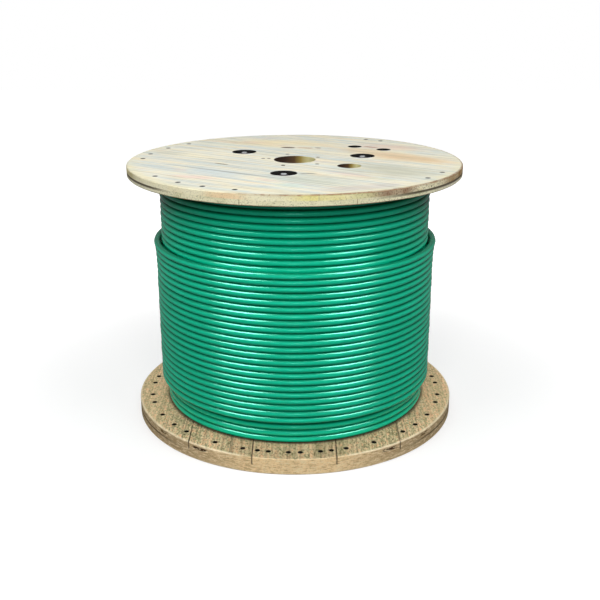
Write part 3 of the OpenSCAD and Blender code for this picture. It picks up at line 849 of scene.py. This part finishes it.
def make_hidden_layers():
    """The layers under the turns that show: a ring whose face is scalloped by its own turns."""
    inner = BARREL_RADIUS + HIDDEN_GAP
    profile = [(inner, LOWER_FACE + HIDDEN_GAP)]
    for row in range(1, LAST_TURN + 1):
        covered_by_outer = FIRST_OUTER < row < FIRST_UPPER - 1
        outer = OUTER_LAYER_RADIUS if covered_by_outer else FULL_LAYER_RADIUS
        for direction in SCALLOP_DIRECTIONS:
            lean = math.radians(direction)
            profile.append((outer - SCALLOP_DEPTH + SCALLOP_BULGE * math.cos(lean),
                            LOWER_FACE + PITCH * row + SCALLOP_HALF_HEIGHT * math.sin(lean)))
    profile.append((inner, LOWER_FACE + PITCH * (LAST_TURN + 0.45)))

    shape = bmesh.new()
    corners = [shape.verts.new((radius, 0, height)) for radius, height in profile]
    edges = [shape.edges.new((corners[i - 1], corners[i])) for i in range(len(corners))]
    bmesh.ops.spin(shape, geom=corners + edges, cent=(0, 0, 0), axis=(0, 0, 1),
                   angle=math.tau, steps=HIDDEN_FACES, use_merge=True)
    bmesh.ops.recalc_face_normals(shape, faces=shape.faces)
    mesh = bpy.data.meshes.new("hidden_layers")
    shape.to_mesh(mesh)
    shape.free()
    return mesh


def new_piece(name, mesh, material):
    """An object at the origin, smooth, with its material."""
    mesh.materials.clear()
    mesh.materials.append(material)
    for face in mesh.polygons:
        face.use_smooth = True
    piece = bpy.data.objects.new(name, mesh)
    bpy.context.scene.collection.objects.link(piece)
    return piece


def dress(names, material):
    """Gives CAD nodes a material through their slots."""
    for name in names:
        for material_slot in nodes[name].material_slots:
            material_slot.material = material


# ---- Stage, light and camera ----

def seen_directly(tree):
    """1 for what the camera or clear glass shows, less for a reflection, 0 for light on surfaces."""
    sight = add(tree, "ShaderNodeLightPath", {})
    mirrored = times(tree, sight["Is Glossy Ray"], REFLECTED_SHARE)
    return calc(tree, "MAXIMUM", sight["Is Camera Ray"], calc(
        tree, "MAXIMUM", mirrored, sight["Is Transmission Ray"]))


def make_floor():
    """A pale floor that glows where it is seen, less near the reel, and shows its shadow."""
    shape = bmesh.new()
    bmesh.ops.create_grid(shape, x_segments=2, y_segments=2, size=FLOOR_HALF_SIZE)
    mesh = bpy.data.meshes.new("floor")
    shape.to_mesh(mesh)
    shape.free()
    material, tree, shader, place = new_material("pale_floor")
    at = coordinates(tree, place)
    away = hypotenuse(tree, at["X"], at["Y"])
    glow = times(tree, seen_directly(tree), fade(tree, away, 0.32, 1.2, 0.56, 0.98))
    feed(tree, shader["Emission Color"], blend(tree, glow, (0, 0, 0, 1), (1, 1, 1, 1)))
    shader["Emission Strength"].default_value = 1.0
    set_finish(tree, shader, paint(184, 184, 184), roughness=0.9, gloss=0.1)
    mesh.materials.append(material)
    floor = bpy.data.objects.new("floor", mesh)
    # The floor doesn't light the reel from below, so the turns under the upper flange stay dark
    floor.visible_glossy = False
    floor.visible_diffuse = False
    bpy.context.scene.collection.objects.link(floor)


def make_sky():
    """A white room that is seen directly and gives surfaces only a little light."""
    world = bpy.data.worlds.new("pale_room")
    world.use_nodes = True
    tree = world.node_tree
    tree.nodes.clear()
    strength = calc(tree, "MAXIMUM", seen_directly(tree), ROOM_LIGHT)
    glow = add(tree, "ShaderNodeBackground", {"Color": (1, 1, 1, 1), "Strength": strength})[0]
    add(tree, "ShaderNodeOutputWorld", {"Surface": glow})
    bpy.context.scene.world = world


def lamp(name, azimuth, elevation, distance, width, height, power, mirrored=True, lights=True):
    """A soft lamp aimed at the drum's middle. Azimuth 0 is in front, and positive is to the right.

    A lamp that isn't mirrored lights the reel and leaves no bright image of itself on the jacket.
    One that doesn't light is only mirrored, and makes the gleam of the jacket stronger.
    """
    data = bpy.data.lights.new(name, "AREA")
    data.shape = "RECTANGLE"
    data.size = width
    data.size_y = height
    data.energy = power
    turned, raised = math.radians(azimuth), math.radians(elevation)
    aim = Vector((0, 0, REEL_HEIGHT / 2))
    direction = Vector((math.sin(turned) * math.cos(raised),
                        -math.cos(turned) * math.cos(raised), math.sin(raised)))
    at = aim + distance * direction
    facing_aim = (aim - at).to_track_quat("-Z", "Y").to_matrix().to_4x4()
    thing = bpy.data.objects.new(name, data)
    thing.matrix_world = Matrix.Translation(at) @ facing_aim
    thing.visible_glossy = mirrored
    thing.visible_diffuse = lights
    thing.visible_camera = False
    bpy.context.scene.collection.objects.link(thing)


def make_lamps():
    # Each gleam lamp stands a little behind its softbox, because lamps in one place hide each other
    for side, azimuth in (("left", -SOFTBOX_AZIMUTH), ("right", SOFTBOX_AZIMUTH)):
        lamp(f"{side}_softbox", azimuth, SOFTBOX_ELEVATION,
             distance=2.2, width=1.15, height=1.1, power=17)
        lamp(f"{side}_gleam", azimuth, SOFTBOX_ELEVATION,
             distance=2.3, width=1.2, height=1.15, power=74, lights=False)
    lamp("front_key", 0, 30, distance=2.8, width=1.6, height=1.1, power=44, mirrored=False)
    lamp("front_glint", 0, 3, distance=2.6, width=0.3, height=0.3, power=3, lights=False)
    lamp("back_fill", 180, 28, distance=2.6, width=2.0, height=1.0, power=22, mirrored=False)


def make_camera():
    data = bpy.data.cameras.new("camera")
    data.sensor_width = SENSOR_WIDTH
    data.lens = FOCAL_PIXELS / FRAME_PIXELS * SENSOR_WIDTH
    camera = bpy.data.objects.new("camera", data)
    camera.location = CAMERA_PLACE
    camera.rotation_euler = (math.radians(90 - CAMERA_TILT), 0, 0)
    bpy.context.scene.collection.objects.link(camera)
    bpy.context.scene.camera = camera


# ---- The reel ----

jacket = cable_jacket()
cable = new_piece("wound_cable", make_winding(), jacket)
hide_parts("cable_lower_turns", "cable_outer_turns", "cable_upper_turns")
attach(cable, "root")
# The hidden layers carry no facing attribute, so the jacket paints them dark all over as painted
# shade where they show in gaps
layers = new_piece("hidden_layers", make_hidden_layers(), jacket)
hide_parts("wound_core")
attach(layers, "root")

for number, (seed, tints, marks) in TOP_BOARDS.items():
    dress([f"top_outer_board_{number}"], top_board(f"pale_board_{number}", seed, tints, marks))
for number in range(1, 6):
    dress([f"top_inner_board_{number}"], top_inner_board(
        f"pale_inner_board_{number}", 21.0 + 2.3 * number))
for number in range(1, 6):
    dress([f"bottom_inner_board_{number}"], bottom_board(
        f"trodden_board_{number}", 41.0 + 3.7 * number, math.pi / 2,
        LOWER_PLY_LINE - COVERED, LOWER_FACE, 0.03 * math.sin(number * 2.4), LOWER_JOINTS))
for number in range(1, 5):
    dress([f"bottom_outer_board_{number}"], bottom_board(
        f"floor_board_{number}", 71.0 + 2.9 * number, 0.0,
        0.0, LOWER_PLY_LINE + COVERED, 0.04, []))
dress([f"barrel_stave_{number}" for number in range(1, 17)], stave_wood())
# Partly pale zinc plating and partly a painted glint: bright and only half metallic, so the bolt
# ends show white
dress([f"tie_bolt_{number}" for number in range(1, 4)], steel(
    "zinc_bolt_glint", (240, 243, 246), (196, 200, 204), 0.45, 0.25, rust=0.1, gloss=0.5))
dress(["tie_bolt_nuts", "top_washers", "bottom_washers"], steel(
    "black_nut", (34, 32, 31), (20, 19, 18), 0.3, 0.55, rust=0.3, gloss=0.3))
dress(["top_rim_nails", "top_hub_nails", "bottom_rim_nails"], steel(
    "dark_nail", (20, 16, 13), (10, 8, 7), 0.0, 0.75, rust=0.2, gloss=0.05))

make_floor()
make_sky()
make_lamps()
make_camera()
bpy.context.scene.view_settings.view_transform = "Standard"

bpy.context.view_layer.update()
